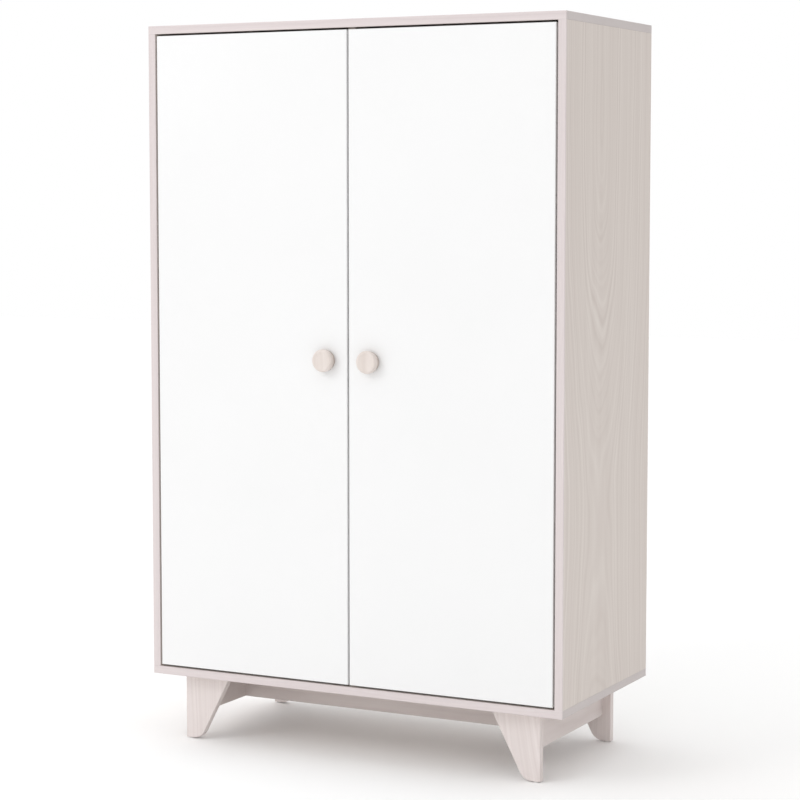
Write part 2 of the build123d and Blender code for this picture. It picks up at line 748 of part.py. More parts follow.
# ---------------------------------------------------------------- concealed hinges
# Drawn about the pin of a left-hand hinge: +X into the cabinet opening, +Y to the back.
cup_centre = cup_inset - pin_inset
door_rear = board - pin_behind_face
cup_wall = 0.9
cup_floor = 1
flange = 1.2
flange_lip = 2
flange_wing = 6.5
lug_inside = 8.3
lug_thickness = 2.5
lug_half = 3
pin_spare = 0.3                         # each end of the pin stands out of its lug by this
pin_fit = 0.02
arm_fit = 0.05
knuckle_radius = 2.6
knuckle_half = 8
strap = 2
elbow = 17.5                            # outer face of the arm's elbow, from the pin
panel_face = -(pin_inset + gap)         # inner face of the side panel
arm_back = 17.5                         # back face of the arm where it passes behind the door
plate_thickness = 2
channel_low = panel_face + plate_thickness
channel_height = 9
channel_high = channel_low + channel_height
channel_wall = 1.2
channel_end = 68
arm_screw_back = 56
arm_screw_radius = 2
to_rear = Plane((0, door_rear, 0), x_dir=(1, 0, 0), z_dir=(0, 1, 0))
cup_bottom = Plane((0, door_rear - cup_depth, 0), x_dir=(1, 0, 0), z_dir=(0, 1, 0))
cavity = Plane((0, door_rear + flange, 0), x_dir=(1, 0, 0), z_dir=(0, -1, 0))


def off_panel(height):
    """Plane parallel to the side panel at this place along X; local x is Y, local y is +Z."""
    return Plane((height, 0, 0), x_dir=(0, 1, 0), z_dir=(1, 0, 0))


with BuildPart() as hinge_cup:
    with BuildSketch(cup_bottom):
        with Locations((cup_centre, 0)):
            Circle(cup_radius)
    extrude(amount=cup_depth)
    with BuildSketch(to_rear):
        with Locations((cup_centre, 0)):
            Circle(cup_radius + flange_lip)
        with Locations((cup_screw_back, 0)):
            SlotOverall(2 * (cup_screw_spread + flange_wing), 2 * flange_wing, rotation=90)
    extrude(amount=flange)
    drill(cavity, [(cup_centre, 0)], cup_radius - cup_wall, cup_depth + flange - cup_floor)
    drill(cavity, [(cup_screw_back, -cup_screw_spread), (cup_screw_back, cup_screw_spread)],
          cup_screw_radius + joint_clearance, flange)
    lug_floor = door_rear - cup_depth + cup_floor
    for low in (lug_inside, -lug_inside - lug_thickness):
        block((-lug_half, lug_half), (lug_floor, lug_half), (low, low + lug_thickness))
    drill(Plane.XY.offset(-lug_inside - lug_thickness), [(0, 0)], pin_radius + pin_fit,
          2 * (lug_inside + lug_thickness))

with BuildPart() as hinge_pin:
    Cylinder(pin_radius, 2 * (lug_inside + lug_thickness + pin_spare))
    chamfer(hinge_pin.edges().filter_by(GeomType.CIRCLE), pin_spare)

# The arm curls round the pin, leaves the cup, passes behind the door and runs along the side.
with BuildPart() as hinge_arm:
    with BuildSketch():
        Circle(knuckle_radius)
    extrude(amount=knuckle_half, both=True)
    with BuildSketch() as gooseneck:
        with BuildLine():
            Polyline(
                (0, -strap / 2),
                (elbow, -strap / 2),
                (elbow, arm_back),
                (channel_high, arm_back),
                (channel_high, arm_back - strap),
                (elbow - strap, arm_back - strap),
                (elbow - strap, strap / 2),
                (0, strap / 2),
                close=True,
            )
        make_face()
        fillet(gooseneck.vertices().group_by(Axis.X)[-1], strap)
    extrude(amount=arm_width / 2, both=True)
    block((channel_low, channel_high), (arm_back - strap, channel_end),
          (-arm_width / 2, arm_width / 2))
    channel_middle = (arm_back + channel_end + strap) / 2
    with Locations((channel_low + channel_height / 2 - channel_wall, channel_middle, 0)):
        Box(channel_height, channel_end + strap - arm_back, arm_width - 2 * channel_wall,
            mode=Mode.SUBTRACT)
    drill(Plane.XY.offset(-knuckle_half), [(0, 0)], pin_radius + arm_fit, 2 * knuckle_half)
    drill(off_panel(channel_low), [(arm_screw_back, 0)], arm_screw_radius + joint_clearance,
          channel_height)

# The plate: a spine along the arm, wings for its two screws, and a boss that the arm sits on.
spine_ends = (26, 66)
spine_half = 6
wing = 6.5
wing_y = plate_screw_y - pin_y
boss_ends = (30, 64)
boss_half = 5.2
boss_height = 5
boss_face = panel_face + plate_thickness + boss_height
with BuildPart() as hinge_plate:
    block((panel_face, channel_low), spine_ends, (-spine_half, spine_half))
    with BuildSketch(off_panel(panel_face)):
        with Locations((wing_y, 0)):
            SlotOverall(2 * (plate_screw_spread + wing), 2 * wing, rotation=90)
    extrude(amount=plate_thickness)
    block((channel_low, boss_face), boss_ends, (-boss_half, boss_half))
    drill(off_panel(panel_face), [(wing_y, -plate_screw_spread), (wing_y, plate_screw_spread)],
          plate_screw_radius + joint_clearance, plate_thickness)
    drill(off_panel(panel_face), [(arm_screw_back, 0)], arm_screw_radius + joint_clearance,
          plate_thickness + boss_height)

cup_screw = screw(cup_screw_radius, cup_screw_length, head_radius=3.3, head_height=1.5,
                  drive_radius=1.8)
plate_screw = screw(plate_screw_radius, plate_screw_length, head_radius=3.9, head_height=1.8,
                    drive_radius=2.2)
arm_screw = screw(arm_screw_radius, 7, head_radius=3.4, head_height=1.6, drive_radius=2)
plate_head_x = inner_half - plate_thickness
arm_head_x = plate_head_x - channel_height
plate_screw_places = []
arm_screw_places = []
for name, side, turn in (("left", -1, facing_right), ("right", 1, facing_left)):
    mirrored = {}
    for label, piece in (("cup", hinge_cup), ("arm", hinge_arm), ("plate", hinge_plate)):
        mirrored[label] = piece.part if side < 0 else piece.part.mirror(Plane.YZ)
    pins = []
    cup_screw_places = []
    for level, z in hinge_heights.items():
        pin_place = (side * pin_x, pin_y, z)
        group(mirrored["cup"], [pin_place], f"{name}_{level}_hinge_cup")
        group(mirrored["arm"], [pin_place], f"{name}_{level}_hinge_arm")
        pins.append(pin_place)
        arm_screw_places.append(Location((side * arm_head_x, pin_y + arm_screw_back, z), turn))
        for step in (-1, 1):
            cup_head = (side * (pin_x - cup_screw_back), door_back + flange,
                        z + step * cup_screw_spread)
            cup_screw_places.append(Location(cup_head, (0, 0, 90)))
            plate_head = (side * plate_head_x, plate_screw_y, z + step * plate_screw_spread)
            plate_screw_places.append(Location(plate_head, turn))
    group(mirrored["plate"], pins, f"{name}_hinge_plates")
    group(hinge_pin.part, pins, f"{name}_hinge_pins")
    group(cup_screw, cup_screw_places, f"{name}_hinge_cup_screws")
group(plate_screw, plate_screw_places, "hinge_plate_screws")
group(arm_screw, arm_screw_places, "hinge_arm_screws")
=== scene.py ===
# The looks of a two-door wardrobe on a low leg frame, in the order in which it is put together.
# Boards, doors, legs and hardware are the frame's own nodes with finished materials; the turned
# knobs are made here.
import bmesh
import bpy
from math import cos, pi, radians, sin
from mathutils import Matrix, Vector


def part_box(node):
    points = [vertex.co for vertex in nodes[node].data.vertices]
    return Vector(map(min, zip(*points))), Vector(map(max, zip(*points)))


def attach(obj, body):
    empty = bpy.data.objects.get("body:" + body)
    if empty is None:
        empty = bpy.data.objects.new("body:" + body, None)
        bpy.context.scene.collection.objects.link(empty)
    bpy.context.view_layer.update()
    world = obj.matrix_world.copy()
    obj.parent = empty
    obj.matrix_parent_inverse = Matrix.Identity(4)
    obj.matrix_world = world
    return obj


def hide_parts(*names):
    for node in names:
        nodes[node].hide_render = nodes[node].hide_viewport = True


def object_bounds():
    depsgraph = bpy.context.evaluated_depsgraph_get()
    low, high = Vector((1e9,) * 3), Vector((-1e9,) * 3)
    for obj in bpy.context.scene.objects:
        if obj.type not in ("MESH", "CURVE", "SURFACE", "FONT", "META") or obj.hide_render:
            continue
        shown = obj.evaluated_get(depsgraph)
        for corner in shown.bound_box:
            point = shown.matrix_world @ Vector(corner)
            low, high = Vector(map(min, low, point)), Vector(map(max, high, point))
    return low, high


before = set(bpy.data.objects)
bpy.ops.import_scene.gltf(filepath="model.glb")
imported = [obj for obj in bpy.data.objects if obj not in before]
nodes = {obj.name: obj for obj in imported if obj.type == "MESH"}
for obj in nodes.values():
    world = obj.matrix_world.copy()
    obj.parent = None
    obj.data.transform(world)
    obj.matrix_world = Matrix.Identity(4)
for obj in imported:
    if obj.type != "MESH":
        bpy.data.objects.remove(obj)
cad_low, cad_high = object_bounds()


# ---------------------------------------------------------------- camera
# Eye level is at about three quarters of the wardrobe's height, well back and to its right,
# with a long lens that looks a little down and is dropped by a small part of the frame.
camera_place = (2.07, -4.019, 1.116)
camera_dip = 4.74           # degrees below level
camera_turn = 27.18         # degrees to the left of straight at the doors
camera_data = bpy.data.cameras.new("camera")
camera_data.lens = 102
camera_data.shift_y = -0.03
camera = bpy.data.objects.new("camera", camera_data)
camera.location = camera_place
camera.rotation_euler = (radians(90 - camera_dip), 0, radians(camera_turn))
bpy.context.scene.collection.objects.link(camera)
bpy.context.scene.camera = camera


# ---------------------------------------------------------------- floor and light
# A flat white floor, under a white sky that is brighter overhead and dimmer to the right. A large
# soft lamp, high at the front left, makes the doors brighter than the side and throws the knobs'
# soft shadows.
def linear(code):
    """An sRGB hex colour as linear red, green, blue and alpha."""
    channels = [int(code[start:start + 2], 16) / 255 for start in (1, 3, 5)]
    return [c / 12.92 if c <= 0.04045 else ((c + 0.055) / 1.055) ** 2.4 for c in channels] + [1]


def add_node(tree, kind, links=None, **settings):
    """Add a node. Links give its inputs a value or another node's output; settings its options."""
    node = tree.nodes.new(kind)
    for option, value in settings.items():
        setattr(node, option, value)
    for socket, value in (links or {}).items():
        if isinstance(value, bpy.types.NodeSocket):
            tree.links.new(value, node.inputs[socket])
        else:
            node.inputs[socket].default_value = value
    return node


def new_material(name, **surface):
    """A material with one Principled surface, whose own sockets take the constants given."""
    material = bpy.data.materials.new(name)
    material.use_nodes = True
    tree = material.node_tree
    tree.nodes.clear()
    links = {socket.replace("_", " "): value for socket, value in surface.items()}
    shader = add_node(tree, "ShaderNodeBsdfPrincipled", links)
    add_node(tree, "ShaderNodeOutputMaterial", {"Surface": shader.outputs[0]})
    return material, tree, shader


level_light = 0.92          # the sky's strength at the horizon and below
overhead_light = 1.25
right_light = 0.58          # what is left of that strength far to the right
bpy.context.scene.view_settings.view_transform = "Standard"
world = bpy.data.worlds.new("even white sky")
bpy.context.scene.world = world
world.use_nodes = True
sky_tree = world.node_tree
sky = sky_tree.nodes["Background"]
sky.inputs["Color"].default_value = linear("#FFFFFF")
sky_way = add_node(sky_tree, "ShaderNodeSeparateXYZ", {
    0: add_node(sky_tree, "ShaderNodeTexCoord").outputs["Generated"]})
from_above = add_node(sky_tree, "ShaderNodeMapRange", {
    "Value": sky_way.outputs[2], "To Min": level_light, "To Max": overhead_light})
from_right = add_node(sky_tree, "ShaderNodeMapRange", {
    "Value": sky_way.outputs[0], "To Min": 1.0, "To Max": right_light})
lighting = add_node(sky_tree, "ShaderNodeMath", {
    0: from_above.outputs[0], 1: from_right.outputs[0]}, operation="MULTIPLY")
seen = add_node(sky_tree, "ShaderNodeLightPath").outputs["Is Camera Ray"]
sky_strength = add_node(sky_tree, "ShaderNodeMix", {
    "Factor": seen, 2: lighting.outputs[0], 3: 1.0}, data_type="FLOAT")
sky_tree.links.new(sky_strength.outputs[0], sky.inputs["Strength"])

floor_size = 24
floor_mesh = bpy.data.meshes.new("floor")
floor_shape = bmesh.new()
bmesh.ops.create_grid(floor_shape, x_segments=1, y_segments=1, size=floor_size / 2)
floor_shape.to_mesh(floor_mesh)
floor_shape.free()
floor = bpy.data.objects.new("floor", floor_mesh)
bpy.context.scene.collection.objects.link(floor)
floor_paint = new_material("matt white studio floor", Roughness=0.9, Specular_IOR_Level=0.1,
                           Base_Color=linear("#FDFDFD"))[0]
floor_mesh.materials.append(floor_paint)

lamp_width = 1.6
lamp_power = 26
lamp_target = Vector((0, 0, 0.9))
lamp_data = bpy.data.lights.new("front left softbox", "AREA")
lamp_data.shape = "RECTANGLE"
lamp_data.size = lamp_width
lamp_data.size_y = lamp_width
lamp_data.energy = lamp_power
lamp = bpy.data.objects.new("front left softbox", lamp_data)
lamp.location = (-2.2, -3.4, 3.2)
lamp_aim = lamp_target - lamp.location
lamp.rotation_euler = lamp_aim.to_track_quat("-Z", "Y").to_euler()
bpy.context.scene.collection.objects.link(lamp)


# ---------------------------------------------------------------- uprights
# Two side panels and a centre divider: 16 mm chipboard with a bleached ash melamine foil.
# The print has long straight fibres, and in places the arches of a board cut near the bark.
# Each direction of grain is turned upright, because the log's pattern is.
turn_for_grain = {"Z": (0, 0, 0), "X": (0, radians(-90), 0), "Y": (radians(90), 0, 0)}
ash_light = linear("#DDD4CD")
ash_dark = linear("#CFC4BD")
ring_width = 0.006          # of one light or dark ring in the log
log_sway = 0.13             # the log's middle comes this much nearer to the board
sway_up = 0.78              # over this length above the widest part of the figure
sway_down = -0.7            # and by half as much over this length below it
wander_reach = 0.03         # how far the rings stray from true circles
wander_width = 0.1          # of one such stray
wander_stretch = 3.3        # how much longer it is along the log
fibre_width = 0.004         # real fibres are a tenth of this, too fine to show
fibre_length = 0.22
streak_width = 0.024
streak_length = 1.1
ring_share = 0.9
fibre_share = 0.35
streak_share = 0.5
print_range = 0.4           # from the middle of the print's darkness to its lightest and darkest
foil_roughness = 0.4
pore_roughness = 0.56
emboss_depth = 0.00006      # of the pores


def grain_pattern(tree, along, heart, towards=(0, 0, 0)):
    """How dark the ash print is, from 0 to 1: rings, streaks and fibres. The rings stand round a
    log whose middle passes heart, and which then comes towards the board both up and down."""
    place = add_node(tree, "ShaderNodeTexCoord").outputs["Object"]
    turned = add_node(tree, "ShaderNodeMapping", {
        "Vector": place, "Rotation": turn_for_grain[along]}).outputs[0]
    height = add_node(tree, "ShaderNodeSeparateXYZ", {0: turned}).outputs[2]
    upper = add_node(tree, "ShaderNodeMapRange", {
        "Value": height, "From Min": heart[2], "From Max": heart[2] + sway_up,
        "To Max": log_sway}, interpolation_type="SMOOTHSTEP")
    lower = add_node(tree, "ShaderNodeMapRange", {
        "Value": height, "From Min": heart[2], "From Max": heart[2] + sway_down,
        "To Max": log_sway / 2}, interpolation_type="SMOOTHSTEP")
    sway = add_node(tree, "ShaderNodeMath", {0: upper.outputs[0], 1: lower.outputs[0]})
    swayed = add_node(tree, "ShaderNodeVectorMath", {
        0: towards, "Scale": sway.outputs[0]}, operation="SCALE")
    wander = add_node(tree, "ShaderNodeTexNoise", {
        "Vector": add_node(tree, "ShaderNodeMapping", {
            "Vector": turned, "Scale": (1, 1, 1 / wander_stretch)}).outputs[0],
        "Scale": 1 / wander_width, "Detail": 2.0, "Roughness": 0.4})
    wandering = add_node(tree, "ShaderNodeVectorMath", {
        0: wander.outputs["Color"], 1: (wander_reach, wander_reach, 0), 2: turned},
        operation="MULTIPLY_ADD")
    from_heart = add_node(tree, "ShaderNodeVectorMath", {
        0: wandering.outputs[0], 1: Vector(heart) + Vector((wander_reach, wander_reach, 0)) / 2},
        operation="SUBTRACT")
    from_log = add_node(tree, "ShaderNodeVectorMath", {
        0: from_heart.outputs[0], 1: swayed.outputs[0]}, operation="SUBTRACT")
    across = add_node(tree, "ShaderNodeVectorMath", {
        0: from_log.outputs[0], 1: (1, 1, 0)}, operation="MULTIPLY")
    ring = add_node(tree, "ShaderNodeVectorMath", {0: across.outputs[0]}, operation="LENGTH")
    rings = add_node(tree, "ShaderNodeTexNoise", {
        "W": ring.outputs["Value"], "Scale": 1 / ring_width, "Detail": 1.0},
        noise_dimensions="1D").outputs["Fac"]
    fibres = add_node(tree, "ShaderNodeTexNoise", {
        "Vector": add_node(tree, "ShaderNodeMapping", {
            "Vector": turned,
            "Scale": (1 / fibre_width, 1 / fibre_width, 1 / fibre_length)}).outputs[0],
        "Scale": 1.0, "Detail": 2.0, "Roughness": 0.6}).outputs["Fac"]
    streaks = add_node(tree, "ShaderNodeTexNoise", {
        "Vector": add_node(tree, "ShaderNodeMapping", {
            "Vector": turned,
            "Scale": (1 / streak_width, 1 / streak_width, 1 / streak_length)}).outputs[0],
        "Scale": 1.0, "Detail": 2.0, "Roughness": 0.5}).outputs["Fac"]
    ring_part = add_node(tree, "ShaderNodeMath", {0: rings, 1: ring_share}, operation="MULTIPLY")
    with_fibres = add_node(tree, "ShaderNodeMath", {
        0: fibres, 1: fibre_share, 2: ring_part.outputs[0]}, operation="MULTIPLY_ADD")
    with_streaks = add_node(tree, "ShaderNodeMath", {
        0: streaks, 1: streak_share, 2: with_fibres.outputs[0]}, operation="MULTIPLY_ADD")
    middle = (ring_share + fibre_share + streak_share) / 2
    darkness = add_node(tree, "ShaderNodeMapRange", {
        "Value": with_streaks.outputs[0], "From Min": middle - print_range,
        "From Max": middle + print_range})
    return darkness.outputs[0]


def emboss(tree, shader, pattern, depth):
    """Press the pattern into the surface as pores, to a real depth in metres."""
    pressed = add_node(tree, "ShaderNodeBump", {
        "Height": pattern, "Distance": depth, "Strength": 1.0}, invert=True)
    tree.links.new(pressed.outputs[0], shader.inputs["Normal"])


def satin_foil(tree, shader, colour, pattern):
    """A satin print whose dark pores are pressed in, so they are rougher."""
    tree.links.new(colour, shader.inputs["Base Color"])
    sheen = add_node(tree, "ShaderNodeMapRange", {
        "Value": pattern, "To Min": foil_roughness, "To Max": pore_roughness})
    tree.links.new(sheen.outputs[0], shader.inputs["Roughness"])
    emboss(tree, shader, pattern, emboss_depth)


def ash_foil(name, along, heart, towards=(0, 0, 0), light=ash_light, dark=ash_dark):
    """Bleached ash melamine on a board whose grain runs one way."""
    material, tree, shader = new_material(name, IOR=1.5)
    pattern = grain_pattern(tree, along, heart, towards)
    colour = add_node(tree, "ShaderNodeMix", {"Factor": pattern, 6: light, 7: dark},
                      data_type="RGBA")
    satin_foil(tree, shader, colour.outputs[2], pattern)
    return material


def finish(material, *names):
    """Give frame nodes their finished material, in place of the plain one."""
    for name in names:
        nodes[name].data.materials.clear()
        nodes[name].data.materials.append(material)


heart_depth = 0.14          # from the board out to the log's middle
side_x = cad_high.x
finish(ash_foil("bleached ash foil, left side", "Z", heart=(-side_x - heart_depth, 0.05, 0.7),
                towards=(1, 0, 0)), "left_side_panel")
finish(ash_foil("bleached ash foil, right side", "Z", heart=(side_x + heart_depth, -0.035, 0.5),
                towards=(-1, 0, 0)), "right_side_panel")
finish(ash_foil("bleached ash foil, divider", "Z", heart=(heart_depth, 0.02, 0.9),
                towards=(-1, 0, 0)), "centre_divider")


# ---------------------------------------------------------------- top, bottom and shelves
# The same board with its grain lengthwise. The ends that show at the sides have a strip of the
# same decor, a shade cooler, whose grain runs from front to back.
strip_light = linear("#D0C8C6")
strip_dark = linear("#C2B9B7")
strip_thickness = 0.0012


def ash_level(name, height):
    """Level ash foil boards with banded ends."""
    material, tree, shader = new_material(name, IOR=1.5)
    pattern = grain_pattern(tree, "X", heart=(-height - heart_depth, 0.04, 0.12),
                            towards=(1, 0, 0))
    strip_pattern = grain_pattern(tree, "Y", heart=(0, -height, 0))
    face = add_node(tree, "ShaderNodeMix", {
        "Factor": pattern, 6: ash_light, 7: ash_dark}, data_type="RGBA")
    strip = add_node(tree, "ShaderNodeMix", {
        "Factor": strip_pattern, 6: strip_light, 7: strip_dark}, data_type="RGBA")
    place = add_node(tree, "ShaderNodeTexCoord").outputs["Object"]
    across = add_node(tree, "ShaderNodeSeparateXYZ", {0: place}).outputs[0]
    outwards = add_node(tree, "ShaderNodeMath", {0: across}, operation="ABSOLUTE")
    at_end = add_node(tree, "ShaderNodeMath", {
        0: outwards.outputs[0], 1: cad_high.x - strip_thickness}, operation="GREATER_THAN")
    colour = add_node(tree, "ShaderNodeMix", {
        "Factor": at_end.outputs[0], 6: face.outputs[2], 7: strip.outputs[2]}, data_type="RGBA")
    satin_foil(tree, shader, colour.outputs[2], pattern)
    return material


finish(ash_level("bleached ash foil, top", cad_high.z), "top_panel")
finish(ash_level("bleached ash foil, bottom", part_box("bottom_panel")[1].z), "bottom_panel")
finish(ash_level("bleached ash foil, shelves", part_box("middle_shelf")[1].z),
       "hat_shelf", "lower_shelf", "middle_shelf", "upper_shelf")


# ---------------------------------------------------------------- front edging
# A 2 mm plastic strip in the same decor, glued round the front edges and rounded off. It is
# smoother and cooler than the foil, and its grain runs along each strip.
edging_light = linear("#DFD5D4")
edging_dark = linear("#D2C7C7")

edging, edging_tree, edging_shader = new_material(
    "ash edging strip, moulded plastic", IOR=1.5, Roughness=0.34)
upright_grain = grain_pattern(edging_tree, "Z", heart=(0.06, 0.2, 0))
level_grain = grain_pattern(edging_tree, "X", heart=(-0.7, 0.2, 0))
edging_place = add_node(edging_tree, "ShaderNodeTexCoord").outputs["Object"]
edging_height = add_node(edging_tree, "ShaderNodeSeparateXYZ", {0: edging_place}).outputs[2]
opening_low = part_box("left_side_panel")[0].z
opening_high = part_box("left_side_panel")[1].z
from_middle = add_node(edging_tree, "ShaderNodeMath", {
    0: edging_height, 1: (opening_low + opening_high) / 2}, operation="SUBTRACT")
height_away = add_node(edging_tree, "ShaderNodeMath", {
    0: from_middle.outputs[0]}, operation="ABSOLUTE")
on_level_strip = add_node(edging_tree, "ShaderNodeMath", {
    0: height_away.outputs[0], 1: (opening_high - opening_low) / 2}, operation="GREATER_THAN")
edging_grain = add_node(edging_tree, "ShaderNodeMix", {
    "Factor": on_level_strip.outputs[0], 2: upright_grain, 3: level_grain}, data_type="FLOAT")
edging_colour = add_node(edging_tree, "ShaderNodeMix", {
    "Factor": edging_grain.outputs[0], 6: edging_light, 7: edging_dark}, data_type="RGBA")
edging_tree.links.new(edging_colour.outputs[2], edging_shader.inputs["Base Color"])
emboss(edging_tree, edging_shader, edging_grain.outputs[0], emboss_depth / 3)
finish(edging, "front_edge_bands")


# ---------------------------------------------------------------- leg frame
# Four shaped legs and three rails cut from the same board, banded on their edges. The legs'
# grain is upright and the rails' runs along them; dowels and long screws hold them.
# The legs and rails take lighter ash colours than the carcass foil: partly their own paler board,
# partly painted light that lifts them against the shade under the carcass.
leg_pale_partly_painted_light = linear("#E8DFDC")
leg_dark_partly_painted_light = linear("#DACFCC")
finish(ash_foil("bleached ash foil, front legs", "Z", heart=(0.5, -0.32, -0.2),
                towards=(0, 1, 0), light=leg_pale_partly_painted_light, dark=leg_dark_partly_painted_light),
       "front_left_leg", "front_right_leg")
finish(ash_foil("bleached ash foil, rear legs", "Z", heart=(0.1, 0.12, 0), light=leg_pale_partly_painted_light,
                dark=leg_dark_partly_painted_light), "rear_left_leg", "rear_right_leg")
finish(ash_foil("bleached ash foil, side rails", "Y", heart=(0.28, -0.09, 0), light=leg_pale_partly_painted_light,
                dark=leg_dark_partly_painted_light), "left_leg_rail", "right_leg_rail")
finish(ash_foil("bleached ash foil, cross rail", "X", heart=(-0.1, -0.09, 0), light=leg_pale_partly_painted_light,
                dark=leg_dark_partly_painted_light), "cross_rail")

# Beech dowels: fluted round sticks, smooth and slightly pink, hidden in the joints.
fleck_width = 0.0025        # beech's dark rays, cut across
fleck_depth = 0.00005
beech, beech_tree, beech_shader = new_material("beech dowel, planed", IOR=1.5, Roughness=0.6)
beech_place = add_node(beech_tree, "ShaderNodeTexCoord").outputs["Object"]
beech_flecks = add_node(beech_tree, "ShaderNodeTexNoise", {
    "Vector": beech_place, "Scale": 1 / fleck_width, "Detail": 3.0})
beech_colour = add_node(beech_tree, "ShaderNodeMix", {
    "Factor": beech_flecks.outputs["Fac"], 6: linear("#D9B58C"), 7: linear("#B98F66")},
    data_type="RGBA")
beech_tree.links.new(beech_colour.outputs[2], beech_shader.inputs["Base Color"])
emboss(beech_tree, beech_shader, beech_flecks.outputs["Fac"], fleck_depth)
finish(beech, "leg_frame_dowels", "board_dowels")


# ---------------------------------------------------------------- back panel
# A 3 mm hardboard sheet, nailed on. Its thin white paint was rolled on across the sheet, in
# faint bands, and the pressed fibres show through as a fine fleck.
clump_width = 0.0038        # a clump of pressed fibres; one fibre is too fine to show
clump_depth = 0.00012
band_height = 0.045         # between the roller's tracks
band_length = 1.25
band_share = 0.35           # of the bands' darkness, beside the fleck's
lightest_at = 0.45          # fleck and bands together, where the paint is whitest
darkest_at = 0.9
hardboard, hardboard_tree, hardboard_shader = new_material(
    "painted hardboard", IOR=1.5, Roughness=0.55)
hardboard_place = add_node(hardboard_tree, "ShaderNodeTexCoord").outputs["Object"]
fleck = add_node(hardboard_tree, "ShaderNodeTexNoise", {
    "Vector": hardboard_place, "Scale": 1 / clump_width, "Detail": 4.0, "Roughness": 0.65})
roller_bands = add_node(hardboard_tree, "ShaderNodeTexNoise", {
    "Vector": add_node(hardboard_tree, "ShaderNodeMapping", {
        "Vector": hardboard_place,
        "Scale": (1 / band_length, 1 / band_length, 1 / band_height)}).outputs[0],
    "Scale": 1.0, "Detail": 3.0, "Roughness": 0.6})
thin_paint = add_node(hardboard_tree, "ShaderNodeMath", {
    0: roller_bands.outputs["Fac"], 1: band_share, 2: fleck.outputs["Fac"]},
    operation="MULTIPLY_ADD")
paint_range = add_node(hardboard_tree, "ShaderNodeMapRange", {
    "Value": thin_paint.outputs[0], "From Min": lightest_at, "From Max": darkest_at})
hardboard_colour = add_node(hardboard_tree, "ShaderNodeMix", {
    "Factor": paint_range.outputs[0], 6: linear("#EFEDE9"), 7: linear("#E4E0DA")},
    data_type="RGBA")
hardboard_tree.links.new(hardboard_colour.outputs[2], hardboard_shader.inputs["Base Color"])
emboss(hardboard_tree, hardboard_shader, fleck.outputs["Fac"], clump_depth)
finish(hardboard, "back_panel")


# ---------------------------------------------------------------- doors
# White melamine boards with thick white edging, their corners rounded. The foil is silky, with
# a fine pressed pearl texture that softens the light from the front.
pearl_width = 0.0024        # the real pearls are a third of this, too fine to show
pearl_depth = 0.00004
pearl_share = 0.4           # of the pearls' shade, beside the drift's
drift_width = 0.28          # of a slow change in the white
door_smooth = 0.36
door_rough = 0.5
door_white, door_tree, door_shader = new_material("white pearl melamine", IOR=1.5)
door_place = add_node(door_tree, "ShaderNodeTexCoord").outputs["Object"]
pearl = add_node(door_tree, "ShaderNodeTexNoise", {
    "Vector": door_place, "Scale": 1 / pearl_width, "Detail": 3.0, "Roughness": 0.55})
drift = add_node(door_tree, "ShaderNodeTexNoise", {
    "Vector": door_place, "Scale": 1 / drift_width, "Detail": 2.0})
door_shade = add_node(door_tree, "ShaderNodeMath", {
    0: pearl.outputs["Fac"], 1: pearl_share, 2: drift.outputs["Fac"]},
    operation="MULTIPLY_ADD")
door_colour = add_node(door_tree, "ShaderNodeMix", {
    "Factor": door_shade.outputs[0], 6: linear("#F3F3F3"), 7: linear("#EFEFEF")},
    data_type="RGBA")
door_tree.links.new(door_colour.outputs[2], door_shader.inputs["Base Color"])
door_gloss = add_node(door_tree, "ShaderNodeMapRange", {
    "Value": pearl.outputs["Fac"], "To Min": door_smooth, "To Max": door_rough})
door_tree.links.new(door_gloss.outputs[0], door_shader.inputs["Roughness"])
emboss(door_tree, door_shader, pearl.outputs["Fac"], pearl_depth)
finish(door_white, "left_door", "right_door")


# ---------------------------------------------------------------- knobs
# Ash discs turned on a lathe: flared from the door to a rounded rim, with a flat face that is
# a little lower inside its rim. They are whitewashed, and the flare is painted darker as painted
# shade, for the shadow it lies in as it turns back towards the door. A screw through the door
# holds each.
flare_shade_start = 0.004          # from the knob's face back to where the painted shade on the flare starts
flare_shade_full = 0.006           # from the door out to where the painted shade on the flare is full
knob_ash, knob_tree, knob_shader = new_material("whitewashed turned ash", IOR=1.5, Roughness=0.5)
knob_grain = grain_pattern(knob_tree, "Z", heart=(0.01, -0.3, 0))
knob_wash = add_node(knob_tree, "ShaderNodeMix", {
    "Factor": knob_grain, 6: linear("#E4DAD4"), 7: linear("#D9CEC7")}, data_type="RGBA")
# painted shade: a darker ash colour laid on the flare, standing in for its shadow
flare_painted_shade = add_node(knob_tree, "ShaderNodeMix", {
    "Factor": knob_grain, 6: linear("#C3B6AD"), 7: linear("#AE9F95")}, data_type="RGBA")
knob_face, knob_seat = (corner.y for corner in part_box("left_knob"))
knob_place = add_node(knob_tree, "ShaderNodeTexCoord").outputs["Object"]
knob_depth = add_node(knob_tree, "ShaderNodeSeparateXYZ", {0: knob_place}).outputs[1]
# where the painted shade falls: none near the face, full near the door
painted_shade_on_flare = add_node(knob_tree, "ShaderNodeMapRange", {
    "Value": knob_depth, "From Min": knob_face + flare_shade_start, "From Max": knob_seat - flare_shade_full})
knob_colour = add_node(knob_tree, "ShaderNodeMix", {
    "Factor": painted_shade_on_flare.outputs[0], 6: knob_wash.outputs[2], 7: flare_painted_shade.outputs[2]},
    data_type="RGBA")
knob_tree.links.new(knob_colour.outputs[2], knob_shader.inputs["Base Color"])
emboss(knob_tree, knob_shader, knob_grain, emboss_depth)


def new_piece(name, shape, material, body):
    """Turn a finished bmesh into a smooth-shaded piece that rides on a body."""
    mesh = bpy.data.meshes.new(name)
    shape.to_mesh(mesh)
    shape.free()
    mesh.materials.append(material)
    for face in mesh.polygons:
        face.use_smooth = True
    piece = bpy.data.objects.new(name, mesh)
    bpy.context.scene.collection.objects.link(piece)
    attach(piece, body)
    return piece


weld_distance = 0.00001     # nearer points are merged


